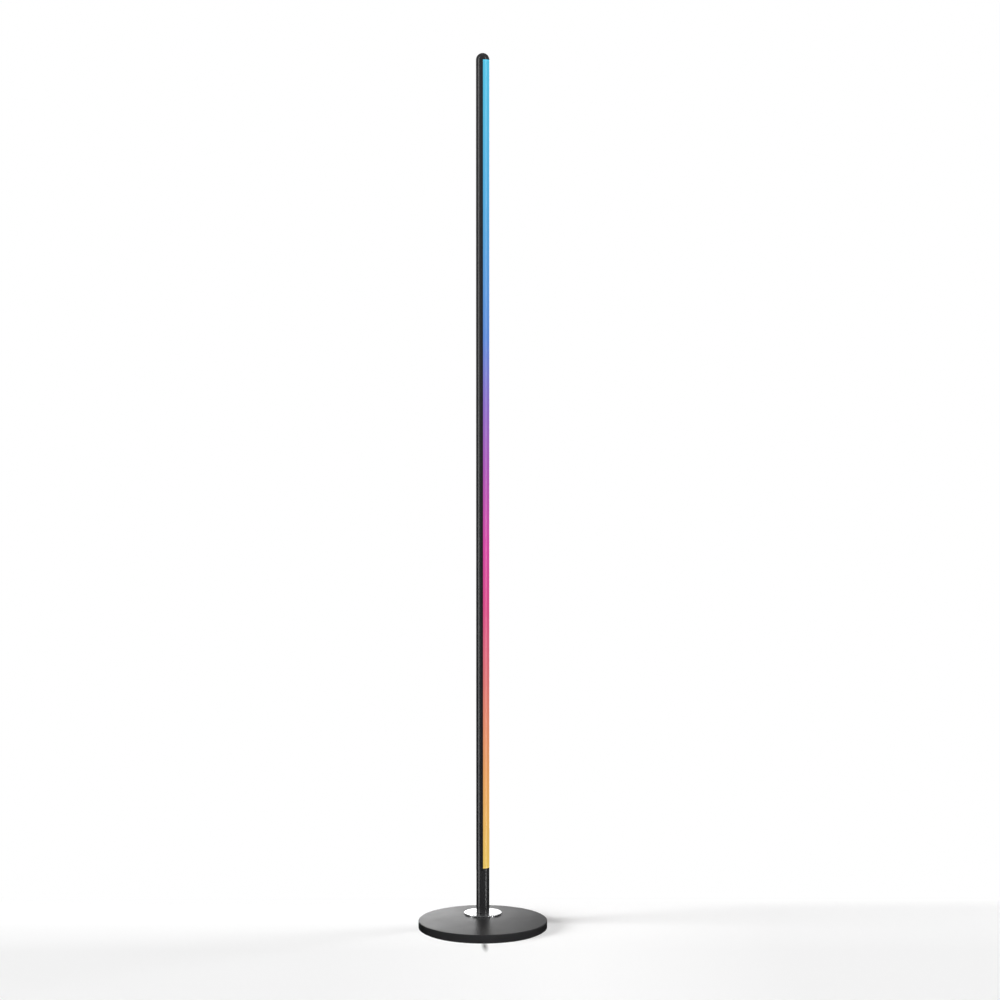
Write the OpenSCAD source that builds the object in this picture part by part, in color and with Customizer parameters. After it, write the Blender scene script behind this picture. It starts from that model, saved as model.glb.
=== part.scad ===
// Corner floor lamp: a round steel base, and a slim pole that stands behind the middle of the base
// and turns on it. Half of the pole is an aluminium channel, and the other half is a lit cover.
// The origin is on the floor under the middle of the base. The light faces +X, and the pole
// stands towards +Y.

/* [Base] */
// Diameter of the round base
base_d = 200; // [170:5:260]
// Thickness of the steel plate
plate_t = 12.4; // [9:0.2:16]
// Radius of the plate's rounded edges
plate_edge_r = 1.2; // [0.6:0.2:2]
// Thickness of the foam pad under the plate
pad_t = 1.6; // [1:0.2:3]
// How far the pad stays inside the plate's rim
pad_inset = 4; // [2:1:10]
// Distance from the pole's axis to the back rim of the base
pole_to_rim = 58; // [40:0.2:85]

/* [Rosette] */
// Diameter of the polished disc at the pole's foot
rosette_d = 59.2; // [45:0.2:70]
// Thickness of the polished disc
rosette_t = 2; // [1.5:0.1:4]
// Width of the bevel round its top edge
rosette_bevel = 0.5; // [0.2:0.1:1]

/* [Pivot] */
// Diameter of the steel stud that the pole turns on
stud_d = 8; // [6:0.5:9]
// Running clearance round the stud
stud_clear = 0.05; // [0.02:0.01:0.08]
// Wall of the nylon bush
bush_wall = 2; // [1.5:0.5:3]
// Thickness of the bush's flange
flange_t = 0.8; // [0.5:0.1:1.2]
// Width of the bush's flange
flange_w = 2.5; // [1.5:0.5:3]
// Thickness of the spring washer as fitted
spring_t = 0.8; // [0.5:0.1:1.2]
// Thickness of the nut
nut_h = 4; // [3:0.5:5]
// Width of the nut across its flats
nut_af = 13; // [12:0.5:14]
// Room round the nut for a socket wrench
wrench_room = 3.5; // [2.5:0.5:5]
// How far the nut stays above the plate's underside
nut_cover = 0.8; // [0.4:0.1:1.5]
// Thickness of the nylon washer under the foot tube
slide_t = 0.5; // [0.3:0.1:1]
// How far the washers stay inside the foot tube's rim
slide_inset = 0.6; // [0.3:0.1:1]

/* [Foot tube] */
// Outer diameter of the foot tube
foot_d = 20.4; // [19.4:0.1:21]
// Wall of the foot tube
foot_wall = 1.5; // [1:0.1:1.7]
// Length of the foot tube
foot_len = 67; // [65:0.2:110]
// Length of the threaded plug in the tube's lower end
foot_bush_len = 10; // [8:0.5:11]
// Clearance between the tube and what slides into it
slip = 0.1; // [0.05:0.01:0.2]

/* [Channel] */
// Outer diameter of the lit pole
pole_d = 20.8; // [20.2:0.1:24]
// Wall of the aluminium channel
channel_wall = 1.5; // [1.3:0.1:1.8]
// Width of the groove beside the diffuser
groove_w = 2.4; // [1.5:0.1:3]
// Depth of the groove beside the diffuser
groove_depth = 0.9; // [0.6:0.1:1.1]
// Thickness of the lip under the groove
lip_t = 1; // [0.8:0.1:1.2]
// Distance of the shelf's face behind the pole's axis
shelf_back = 4; // [3.8:0.1:4.3]
// Thickness of the shelf that carries the light strip
shelf_t = 1.4; // [1:0.1:1.6]
// Length of the two bars that join the channel's three lengths
bar_len = 60; // [50:2:90]

/* [Diffuser] */
// Length of the lit cover
light_len = 1255; // [900:1:1600]
// How far the cover's edges lie in front of the pole's axis
cover_edge = 0.4; // [0:0.1:1]
// Wall of the cover
diffuser_t = 1.2; // [0.9:0.1:1.5]
// Thickness of the cover's shoulders on the channel's lips
shoulder_t = 0.7; // [0.5:0.1:1]
// Thickness of the legs inside the lips
leg_t = 0.9; // [0.6:0.1:1]
// Length of the legs inside the lips
leg_len = 1.8; // [1:0.1:2.2]
// Height of the dark stop under the cover
stop_h = 4; // [2:0.5:8]

/* [Cap] */
// Diameter of the domed cap
cap_d = 20.8; // [20:0.1:21.2]
// Height of the straight rim under the dome
cap_rim_h = 0.4; // [0.2:0.1:2]
// Height of the half-round skirt on the channel's side
skirt_h = 8.5; // [6:0.5:14]
// Length of the tongue inside the channel
tongue_len = 24; // [18:1:40]

/* [Light strip] */
// Width of the light strip
tape_w = 10; // [8:0.5:12]
// Thickness of the light strip
tape_t = 0.4; // [0.3:0.1:0.5]
// Side of each square diode
chip_w = 5; // [3.5:0.1:5.5]
// Height of each diode
chip_h = 1.6; // [1:0.1:1.8]
// Distance from one diode to the next
chip_pitch = 16.7; // [12:0.1:34]

/* [Inlet and button] */
// Height of the power inlet above the foot tube's lower end
inlet_h = 17; // [16.5:0.1:18]
// Height of the button above the foot tube's lower end
button_h = 35; // [34:0.2:36]
// Diameter of the inlet's round nose
nose_d = 7.8; // [7.4:0.1:8.2]
// How far the nose stands out of the tube
nose_proud = 0.3; // [0:0.1:0.6]
// Diameter of the socket that takes the plug
socket_d = 5.7; // [5.5:0.1:5.8]
// Depth of the socket
socket_depth = 9.5; // [8:0.1:9.8]
// Diameter of the socket's centre pin
pin_d = 2.1; // [1.6:0.1:2.5]
// How far the pin stays behind the socket's mouth
pin_shy = 1; // [0.5:0.1:1.5]
// Diameter of the button
button_d = 6.4; // [5:0.1:7]
// How far the button stands out of the tube
button_proud = 0.9; // [0.7:0.1:1.5]
// Travel of the button
button_travel = 0.6; // [0.3:0.1:0.7]
// Clearance round the button
button_clear = 0.12; // [0.08:0.02:0.2]

/* [Hidden] */
$fn = 96;

// How far a cutting shape reaches past the face that it cuts
over = 1;

// Base, from the floor up
base_r = base_d / 2;
pole_back = base_r - pole_to_rim;
rosette_r = rosette_d / 2;
plate_bottom = pad_t;
plate_top = plate_bottom + plate_t;
rosette_top = plate_top + rosette_t;
tube_bottom = rosette_top + slide_t;
tube_top = tube_bottom + foot_len;

// Pivot, hanging under the recess's ceiling
stud_r = stud_d / 2;
bush_in_r = stud_r + stud_clear;
bush_out_r = bush_in_r + bush_wall;
flange_r = bush_out_r + flange_w;
recess_depth = flange_t + spring_t + nut_h + nut_cover;
recess_r = max(nut_af / 2 / cos(30), flange_r) + wrench_room;
recess_top = plate_bottom + recess_depth;
spring_top = recess_top - flange_t;
nut_top = spring_top - spring_t;
nut_bottom = nut_top - nut_h;
stud_end_gap = 0.3;
washer_clear = 0.2;
nut_chamfer = 0.6;

// Foot tube and what it holds
foot_r = foot_d / 2;
foot_in_r = foot_r - foot_wall;
slip_r = foot_in_r - slip;
spigot_len = 12;
spigot_bottom = tube_top - spigot_len;
bush_top = tube_bottom + foot_bush_len;
inlet_z = tube_bottom + inlet_h;
button_z = tube_bottom + button_h;

// Controller: the board stands upright across the tube, with its parts towards the back
board_front = -2;
board_t = 1.2;
board_back = board_front - board_t;
board_side_gap = 0.4;
board_w = 2 * (sqrt(pow(slip_r, 2) - pow(board_back, 2)) - board_side_gap);
board_end_gap = 1.2;
board_bottom = bush_top + board_end_gap;
board_top = spigot_bottom - board_end_gap;
pocket_w = 10;
pocket_floor_t = 1.6;
pocket_end = 1;
inlet_w = 9;
inlet_wall_gap = 0.2;
inlet_block_back = sqrt(pow(foot_in_r, 2) - pow(inlet_w / 2, 2)) - inlet_wall_gap;
inlet_top = inlet_z + inlet_w / 2;
switch_w = 6;
switch_h = 3.5;
switch_front = board_front + switch_h;
switch_bottom = button_z - switch_w / 2;
switch_top = button_z + switch_w / 2;
screw_low_z = (inlet_top + switch_bottom) / 2;
screw_high_inset = 3;
screw_high_z = board_top - screw_high_inset;
screw_high_x = 3.4;
board_screw_r = 1;
board_screw_head_r = 1.9;
board_screw_head_h = 1.2;
board_screw_len = 2.8;
screw_land = 2.4;
lead_core_r = 0.7;
lead_core_step = 1.3;
lead_overlap = 4;
lead_x = -shelf_back + tape_t + lead_core_r;
lead_y = board_front + lead_core_r;
lead_bottom = board_top - lead_overlap;
lead_top_overlap = 5;

// Inlet: the nose reaches out through the tube's back wall
nose_r = nose_d / 2;
nose_clear = 0.1;
nose_end = foot_r + nose_proud;
socket_r = socket_d / 2;
socket_floor = nose_end - socket_depth;
pin_r = pin_d / 2;
pin_tail_r = pin_r + 0.5;
pin_end = nose_end - pin_shy;
contact_w = 2;
contact_t = 0.4;
contact_gap = 1.5;
contact_bite = 0.05;

// Button: its flange stays behind the tube's back wall
button_r = button_d / 2;
button_flange_w = 1;
button_flange_r = button_r + button_flange_w;
button_flange_t = 1;
stop_gap = 0.3;
flange_front = sqrt(pow(foot_in_r, 2) - pow(button_flange_r, 2)) - stop_gap;
flange_rear = flange_front - button_flange_t;
button_end = foot_r + button_proud;
button_crown = 0.3;
plunger_r = 1.7;
plunger_clear = 0.15;
plunger_out = 1.2;
plunger_end = switch_front + plunger_out;
plunger_rear_h = 2.5;
plunger_rear = board_front + plunger_rear_h;
dome_t = 0.2;
dome_gap = 0.2;
switch_floor = plunger_rear - button_travel - dome_gap - dome_t;

// Channel: everything is measured from the pole's outer radius. Its two lower lengths are cut to
// whole millimetres, and the upper one takes what is left.
pole_r = pole_d / 2;
channel_in_r = pole_r - channel_wall;
lip_out_r = pole_r - groove_depth;
lip_in_r = lip_out_r - lip_t;
lip_root = 1.5;
leg_out_r = lip_in_r - slip;
leg_in_r = leg_out_r - leg_t;
shelf_rear = shelf_back + shelf_t;
bar_r = channel_in_r - slip;
bar_front = shelf_rear + slip;
channel_bottom = tube_top;
light_bottom = channel_bottom + stop_h;
light_top = light_bottom + light_len;
channel_top = light_top - skirt_h;
section_len = round((channel_top - channel_bottom) / 3);
seam_low = channel_bottom + section_len;
seam_high = seam_low + section_len;
foot_bar_len = 30;

// Set screws in the bars behind the shelf, and the holes in the shelf that reach them
set_screw_r = 1.5;
set_screw_hex_r = 0.85;
set_screw_hex_depth = 1.5;
key_hole_r = 1.3;
bar_screw_inset = 15;
foot_bar_screw_inset = 10;
foot_bar_screw_z = channel_bottom + foot_bar_len - foot_bar_screw_inset;
tongue_screw_inset = 9;
tongue_screw_z = channel_top - tongue_len + tongue_screw_inset;
bar_screw_z = [
    foot_bar_screw_z,
    seam_low - bar_screw_inset, seam_low + bar_screw_inset,
    seam_high - bar_screw_inset, seam_high + bar_screw_inset,
    tongue_screw_z
];
foot_screw_z = tube_top - spigot_len / 2;
foot_screw_len = 5;
foot_screw_sink = 0.4;

// Cap
cap_r = cap_d / 2;

// Light strip
tape_low_gap = 1;
tape_high_gap = 2;
chip_lead_gap = 1;
tape_bottom = light_bottom + tape_low_gap;
tape_top = light_top - tape_high_gap;
chip_first_z = tape_bottom + lead_top_overlap + chip_lead_gap + chip_w / 2;
chip_count = floor((tape_top - chip_w / 2 - chip_first_z) / chip_pitch) + 1;

// More than the pole is wide, for cutting it
wide = 3 * pole_d;

module at_pole() translate([0, pole_back, 0]) children();

// Lays a shape that is drawn upwards along +Y at height z, starting at distance y
module towards_back(y, z) translate([0, y, z]) rotate([-90, 0, 0]) children();

// The part of a flat shape between two distances along X
module between_x(x_low, x_high) {
    intersection() {
        children();
        translate([x_low, -wide / 2]) square([x_high - x_low, wide]);
    }
}

module ring(out_r, in_r) {
    difference() {
        circle(r = out_r);
        circle(r = in_r);
    }
}

// Half of a disc's section, with its outer corners rounded, for turning about Z
module rounded_disc_section(r, z_low, z_high, edge_r) {
    translate([0, z_low]) square([r - edge_r, z_high - z_low]);
    translate([0, z_low + edge_r]) square([r, z_high - z_low - 2 * edge_r]);
    for (z = [z_low + edge_r, z_high - edge_r]) translate([r - edge_r, z]) circle(r = edge_r);
}

module base_plate() {
    color("#3a3a3b") difference() {
        rotate_extrude($fn = 180)
            rounded_disc_section(base_r, plate_bottom, plate_top, plate_edge_r);
        at_pole() translate([0, 0, plate_bottom - over]) cylinder(r = recess_r, h = recess_depth + over);
        at_pole() translate([0, 0, plate_bottom - over]) cylinder(r = bush_out_r, h = plate_t + 2 * over);
    }
}

module floor_pad() {
    color("#1d1d1e") difference() {
        cylinder(r = base_r - pad_inset, h = pad_t, $fn = 180);
        at_pole() translate([0, 0, -over]) cylinder(r = recess_r, h = pad_t + 2 * over);
    }
}

module rosette() {
    color("#d8dadc") at_pole() difference() {
        union() {
            translate([0, 0, plate_top]) cylinder(r = rosette_r, h = rosette_t - rosette_bevel);
            translate([0, 0, rosette_top - rosette_bevel])
                cylinder(r1 = rosette_r, r2 = rosette_r - rosette_bevel, h = rosette_bevel);
        }
        translate([0, 0, plate_top - over]) cylinder(r = bush_out_r + slip, h = rosette_t + 2 * over);
    }
}

module pivot_bush() {
    color("#e6e2d8") at_pole() difference() {
        union() {
            translate([0, 0, recess_top]) cylinder(r = bush_out_r, h = rosette_top - recess_top);
            translate([0, 0, spring_top]) cylinder(r = flange_r, h = flange_t);
        }
        translate([0, 0, spring_top - over]) cylinder(r = bush_in_r, h = plate_t + rosette_t + 2 * over);
    }
}

module slide_washer() {
    color("#222224") at_pole() translate([0, 0, rosette_top]) difference() {
        cylinder(r = foot_r - slide_inset, h = slide_t);
        translate([0, 0, -over]) cylinder(r = stud_r + washer_clear, h = slide_t + 2 * over);
    }
}

module pivot_stud() {
    stud_bottom = nut_bottom - stud_end_gap;
    color("#9a9c9e") at_pole() translate([0, 0, stud_bottom])
        cylinder(r = stud_r, h = bush_top - stud_bottom);
}

module spring_washer() {
    color("#9a9c9e") at_pole() translate([0, 0, nut_top]) difference() {
        cylinder(r = flange_r - slide_inset, h = spring_t);
        translate([0, 0, -over]) cylinder(r = stud_r, h = spring_t + 2 * over);
    }
}

module pivot_nut() {
    corner_r = nut_af / 2 / cos(30);
    color("#9a9c9e") at_pole() translate([0, 0, nut_bottom]) difference() {
        intersection() {
            cylinder(r = corner_r, h = nut_h, $fn = 6);
            union() {
                cylinder(r1 = corner_r - nut_chamfer, r2 = corner_r, h = nut_chamfer);
                translate([0, 0, nut_chamfer]) cylinder(r = corner_r, h = nut_h - nut_chamfer);
            }
        }
        translate([0, 0, -over]) cylinder(r = stud_r, h = nut_h + 2 * over);
    }
}

module foot_bush() {
    color("#9a9c9e") at_pole() translate([0, 0, tube_bottom]) difference() {
        cylinder(r = foot_in_r, h = foot_bush_len);
        translate([0, 0, -over]) cylinder(r = stud_r, h = foot_bush_len + 2 * over);
    }
}

module foot_tube() {
    color("#333435") at_pole() difference() {
        translate([0, 0, tube_bottom]) cylinder(r = foot_r, h = foot_len);
        translate([0, 0, tube_bottom - over]) cylinder(r = foot_in_r, h = foot_len + 2 * over);
        towards_back(0, inlet_z) cylinder(r = nose_r + nose_clear, h = wide);
        towards_back(0, button_z) cylinder(r = button_r + button_clear, h = wide);
        towards_back(0, foot_screw_z) cylinder(r = set_screw_r, h = wide);
    }
}

// A pocket in the carrier, behind the board's soldered side
module carrier_pocket(z_low, z_high) {
    depth = slip_r + board_back - pocket_floor_t;
    translate([-pocket_w / 2, board_back - depth, z_low]) cube([pocket_w, depth + over, z_high - z_low]);
}

module controller_carrier() {
    color("#26272a") at_pole() difference() {
        translate([0, 0, bush_top]) linear_extrude(spigot_bottom - bush_top)
            intersection() {
                circle(r = slip_r);
                translate([-wide / 2, -wide]) square([wide, wide + board_back]);
            }
        carrier_pocket(board_bottom + pocket_end, screw_low_z - screw_land);
        carrier_pocket(screw_low_z + screw_land, screw_high_z - screw_land);
        board_screw_holes(board_back, -board_screw_len);
    }
}

// The two screws' shanks, from distance y along +Y, or along -Y where the length is negative
module board_screw_holes(y, length) {
    for (p = [[0, screw_low_z], [screw_high_x, screw_high_z]])
        translate([p[0], min(y, y + length), p[1]]) rotate([-90, 0, 0])
            cylinder(r = board_screw_r, h = abs(length));
}

module controller_board() {
    color("#1e6b4a") at_pole() difference() {
        translate([-board_w / 2, board_back, board_bottom])
            cube([board_w, board_t, board_top - board_bottom]);
        board_screw_holes(board_back - over, board_t + 2 * over);
    }
}

module board_screws() {
    color("#b9bbbd") at_pole() {
        board_screw_holes(board_back - board_screw_len, board_screw_len + board_t);
        for (p = [[0, screw_low_z], [screw_high_x, screw_high_z]])
            translate([p[0], board_front, p[1]]) rotate([-90, 0, 0])
                cylinder(r = board_screw_head_r, h = board_screw_head_h);
    }
}

// Processor beside the switch, driver above it, and a lying capacitor above that
module board_chips() {
    processor = [4, 1.6, 5];
    driver = [6, 1.6, 4];
    capacitor_r = 1.5;
    capacitor_len = 5;
    gap = 0.8;
    edge_gap = 0.3;
    capacitor_lead_gap = 1.2;
    capacitor_z = lead_bottom - capacitor_lead_gap - capacitor_len;
    color("#17181a") at_pole() {
        translate([-board_w / 2 + gap, board_front, screw_low_z - processor[2] / 2 + gap]) cube(processor);
        translate([-driver[0] / 2, board_front, switch_top + gap]) cube(driver);
    }
    color("#4a5568") at_pole()
        translate([-board_w / 2 + capacitor_r + edge_gap, board_front + capacitor_r, capacitor_z])
            cylinder(r = capacitor_r, h = capacitor_len);
}

module dc_inlet() {
    color("#18191b") at_pole() difference() {
        union() {
            translate([-inlet_w / 2, board_front, inlet_z - inlet_w / 2])
                cube([inlet_w, inlet_block_back - board_front, inlet_w]);
            towards_back(inlet_block_back, inlet_z) cylinder(r = nose_r, h = nose_end - inlet_block_back);
        }
        towards_back(socket_floor, inlet_z) cylinder(r = socket_r, h = wide);
        towards_back(board_front - over, inlet_z) cylinder(r = pin_tail_r, h = wide / 2);
        contact_block(2 * contact_t + contact_bite);
    }
}

// The side contact lies in a slot under the socket, and the slot is open to the socket
module contact_block(height) {
    translate([-contact_w / 2, socket_floor, inlet_z - socket_r - contact_t])
        cube([contact_w, socket_depth - contact_gap, height]);
}

module inlet_pin() {
    color("#cfc9a8") at_pole() {
        towards_back(board_front, inlet_z) cylinder(r = pin_tail_r, h = socket_floor - board_front);
        towards_back(socket_floor, inlet_z) cylinder(r = pin_r, h = pin_end - socket_floor);
    }
}

module inlet_contact() {
    color("#cfc9a8") at_pole() contact_block(contact_t + contact_bite);
}

module switch_body() {
    color("#18191b") at_pole() difference() {
        translate([-switch_w / 2, board_front, button_z - switch_w / 2])
            cube([switch_w, switch_front - board_front, switch_w]);
        towards_back(switch_floor, button_z) cylinder(r = plunger_r + plunger_clear, h = wide);
    }
}

module switch_dome() {
    color("#c9ccce") at_pole()
        towards_back(switch_floor, button_z) cylinder(r = plunger_r, h = dome_t);
}

module led_lead() {
    color("#d9d9d6") at_pole() for (i = [0:2])
        translate([lead_x, lead_y + i * lead_core_step, lead_bottom])
            cylinder(r = lead_core_r, h = tape_bottom + lead_top_overlap - lead_bottom, $fn = 24);
}

// Flat outline of the bars that slide behind the channel's shelf
module bar_outline() between_x(-wide, -bar_front) circle(r = bar_r);

// Threaded holes for set screws in a bar, at the heights that lie within it
module bar_screw_holes(z_low, z_high) {
    for (z = bar_screw_z) if (z > z_low && z < z_high)
        translate([-bar_r, 0, z]) rotate([0, 90, 0]) cylinder(r = set_screw_r, h = bar_r);
}

module foot_joiner() {
    lead_room = 0.2;
    slot_half = lead_core_r + lead_room;
    color("#2b2b2c") at_pole() difference() {
        union() {
            translate([0, 0, spigot_bottom]) cylinder(r = slip_r, h = spigot_len);
            translate([0, 0, tube_top]) linear_extrude(stop_h)
                between_x(cover_edge, wide) circle(r = pole_r - slip);
            translate([0, 0, tube_top]) linear_extrude(foot_bar_len) bar_outline();
        }
        translate([lead_x - slot_half, lead_y - slot_half, spigot_bottom - over])
            cube([2 * slot_half, 2 * (lead_core_step + slot_half), spigot_len + 2 * over]);
        bar_screw_holes(tube_top, tube_top + foot_bar_len);
        towards_back(slip_r - foot_screw_len, foot_screw_z) cylinder(r = set_screw_r, h = wide);
    }
}

// A set screw that starts at the origin and points up, with its hexagon socket at the top
module set_screw(length) {
    difference() {
        cylinder(r = set_screw_r, h = length);
        translate([0, 0, length - set_screw_hex_depth])
            cylinder(r = set_screw_hex_r, h = set_screw_hex_depth + over, $fn = 6);
    }
}

module foot_screw() {
    start = slip_r - foot_screw_len;
    color("#3c3d3f") at_pole() towards_back(start, foot_screw_z) set_screw(foot_r - foot_screw_sink - start);
}

// The channel's section: a half-round wall, a shelf across it, and two lips set in from the wall
module channel_outline() {
    between_x(-wide, -groove_w) ring(pole_r, channel_in_r);
    between_x(-groove_w - lip_root, cover_edge) ring(lip_out_r, lip_in_r);
    between_x(-shelf_rear, -shelf_back) circle(r = channel_in_r + channel_wall / 2);
}

module channel_section(z_low, z_high) {
    color("#2e2f31") at_pole() difference() {
        translate([0, 0, z_low]) linear_extrude(z_high - z_low) channel_outline();
        for (z = bar_screw_z) if (z > z_low && z < z_high)
            translate([-shelf_rear - slip, 0, z]) rotate([0, 90, 0])
                cylinder(r = key_hole_r, h = shelf_t + 2 * slip);
    }
}

module channel_lower() channel_section(channel_bottom, seam_low);
module channel_middle() channel_section(seam_low, seam_high);
module channel_upper() channel_section(seam_high, channel_top);

module channel_joiners() {
    color("#a9abad") at_pole() for (seam = [seam_low, seam_high]) difference() {
        translate([0, 0, seam - bar_len / 2]) linear_extrude(bar_len) bar_outline();
        bar_screw_holes(seam - bar_len / 2, seam + bar_len / 2);
    }
}

module joiner_screws() {
    tip_x = -sqrt(pow(channel_in_r, 2) - pow(set_screw_r, 2));
    color("#3c3d3f") at_pole() for (z = bar_screw_z)
        translate([tip_x, 0, z]) rotate([0, 90, 0]) set_screw(-bar_front - tip_x);
}

module led_tape() {
    color("#f2f2ee") at_pole() translate([-shelf_back, -tape_w / 2, tape_bottom])
        cube([tape_t, tape_w, tape_top - tape_bottom]);
}

module led_chips() {
    color("#fbf6dc") at_pole() for (i = [0:chip_count - 1])
        translate([-shelf_back + tape_t, -chip_w / 2, chip_first_z + i * chip_pitch - chip_w / 2])
            cube([chip_h, chip_w, chip_w]);
}

// The cover's section: a half-round wall, shoulders on the channel's lips, and legs inside them
module diffuser_outline() {
    shoulder_end = cover_edge + shoulder_t;
    between_x(cover_edge, wide) ring(pole_r, pole_r - diffuser_t);
    between_x(cover_edge, shoulder_end) ring(pole_r, leg_in_r);
    between_x(cover_edge - leg_len, shoulder_end) ring(leg_out_r, leg_in_r);
}

module diffuser() {
    color("#e05cc0") at_pole() translate([0, 0, light_bottom]) linear_extrude(light_len) diffuser_outline();
}

// Half of the dome's section, for turning about Z
module dome_section() {
    square([cap_r, cap_rim_h]);
    intersection() {
        translate([0, cap_rim_h]) circle(r = cap_r);
        translate([0, cap_rim_h]) square([cap_r, cap_r]);
    }
}

// The skirt has the channel's section, and the tongue slides behind the shelf
module top_cap() {
    color("#2b2b2c") at_pole() difference() {
        union() {
            translate([0, 0, light_top]) rotate_extrude() dome_section();
            translate([0, 0, channel_top]) linear_extrude(skirt_h) {
                between_x(-wide, -groove_w) ring(cap_r, channel_in_r);
                between_x(-wide, -shelf_back) circle(r = (cap_r + channel_in_r) / 2);
                between_x(-groove_w - lip_root, cover_edge) ring(cap_r - groove_depth, lip_in_r);
            }
            translate([0, 0, channel_top - tongue_len]) linear_extrude(tongue_len) bar_outline();
        }
        bar_screw_holes(channel_top - tongue_len, channel_top);
    }
}

module mode_button() {
    crown_start = button_end - button_crown;
    color("#2b2b2c") at_pole() {
        towards_back(plunger_end, button_z) cylinder(r = plunger_r, h = flange_rear - plunger_end);
        towards_back(flange_rear, button_z) cylinder(r = button_flange_r, h = button_flange_t);
        towards_back(flange_front, button_z) cylinder(r = button_r, h = crown_start - flange_front);
        towards_back(crown_start, button_z)
            cylinder(r1 = button_r, r2 = button_r - button_crown, h = button_crown);
    }
}

module switch_plunger() {
    color("#a33a34") at_pole()
        towards_back(plunger_rear, button_z) cylinder(r = plunger_r, h = plunger_end - plunger_rear);
}

base_plate();
floor_pad();
rosette();
pivot_bush();
slide_washer();
pivot_stud();
spring_washer();
pivot_nut();
foot_bush();
foot_tube();
controller_carrier();
controller_board();
board_chips();
board_screws();
dc_inlet();
inlet_pin();
inlet_contact();
switch_body();
switch_dome();
led_lead();
foot_joiner();
foot_screw();
channel_lower();
channel_middle();
channel_upper();
channel_joiners();
joiner_screws();
led_tape();
led_chips();
diffuser();
top_cap();
mode_button();
switch_plunger();
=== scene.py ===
import math

import bmesh
import bpy
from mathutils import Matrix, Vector


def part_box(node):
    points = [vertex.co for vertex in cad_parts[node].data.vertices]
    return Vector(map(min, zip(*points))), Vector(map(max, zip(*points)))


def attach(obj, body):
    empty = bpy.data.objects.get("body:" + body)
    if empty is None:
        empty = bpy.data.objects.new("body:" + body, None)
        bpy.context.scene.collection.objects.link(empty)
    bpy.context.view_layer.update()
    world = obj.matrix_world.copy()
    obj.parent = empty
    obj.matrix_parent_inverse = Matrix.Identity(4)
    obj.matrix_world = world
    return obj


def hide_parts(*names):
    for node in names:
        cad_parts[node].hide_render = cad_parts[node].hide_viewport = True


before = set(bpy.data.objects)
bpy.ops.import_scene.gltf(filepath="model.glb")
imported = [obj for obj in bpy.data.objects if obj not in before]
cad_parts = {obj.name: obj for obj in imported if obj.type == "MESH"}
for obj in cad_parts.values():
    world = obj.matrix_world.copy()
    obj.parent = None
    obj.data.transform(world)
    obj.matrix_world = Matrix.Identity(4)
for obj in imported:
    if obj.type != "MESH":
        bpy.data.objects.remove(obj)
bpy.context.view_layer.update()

mm = 0.001  # the frame is in metres, and the drawings below are in millimetres
scene = bpy.context.scene


# Camera: a long lens at chest height, turned a little down and to the right
camera = {
    "place": (0, -3.797, 0.9215),  # metres
    "tiltDown": 3.82,  # degrees below level
    "turnRight": 0.398,  # degrees
    "roll": 0.018,  # degrees
    "focalLength": 89.1,  # mm, on a 36 mm wide picture
    "pictureWidth": 36,
    "farthest": 60,  # metres that it sees
}
cameraData = bpy.data.cameras.new("studio_camera")
cameraData.lens = camera["focalLength"]
cameraData.sensor_width = camera["pictureWidth"]
cameraData.clip_end = camera["farthest"]
cameraObject = bpy.data.objects.new("studio_camera", cameraData)
cameraObject.location = camera["place"]
cameraObject.rotation_euler = (math.radians(90 - camera["tiltDown"]), -math.radians(camera["roll"]),
                               -math.radians(camera["turnRight"]))
scene.collection.objects.link(cameraObject)
scene.camera = cameraObject
scene.view_settings.view_transform = "Standard"
print("camera set up")


# Places and sizes that several pieces share, taken from the frame
tubeLow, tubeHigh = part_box("foot_tube")
poleX = (tubeLow.x + tubeHigh.x) / 2
poleY = (tubeLow.y + tubeHigh.y) / 2
lightLow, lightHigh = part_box("diffuser")
poleRadius = (lightHigh.x - poleX) / mm  # outer radius of the lit pole, mm

whiteLight = (1, 1, 1, 1)
grainContrast = (0.3, 0.7)  # levels of the noise between which most of a grain lies


def linearColour(code):
    # An sRGB hex colour as the linear RGBA that a node takes
    parts = [int(code[i:i + 2], 16) / 255 for i in (1, 3, 5)]
    return [p / 12.92 if p <= 0.04045 else ((p + 0.055) / 1.055) ** 2.4 for p in parts] + [1]


def perMetre(size):
    # Texture scale for a pattern whose grains are size mm wide
    return 1 / (size * mm)


def addNode(tree, kind, settings={}, links={}):
    # Adds a node, sets its properties and input sockets, and links other nodes' outputs into it
    node = tree.nodes.new(kind)
    for name, value in settings.items():
        if isinstance(name, str) and hasattr(node, name):
            setattr(node, name, value)
        else:
            node.inputs[name].default_value = value
    for name, output in links.items():
        tree.links.new(output, node.inputs[name])
    return node


def startMaterial(name):
    material = bpy.data.materials.new(name)
    material.use_nodes = True
    material.node_tree.nodes.clear()
    return material, material.node_tree


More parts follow.
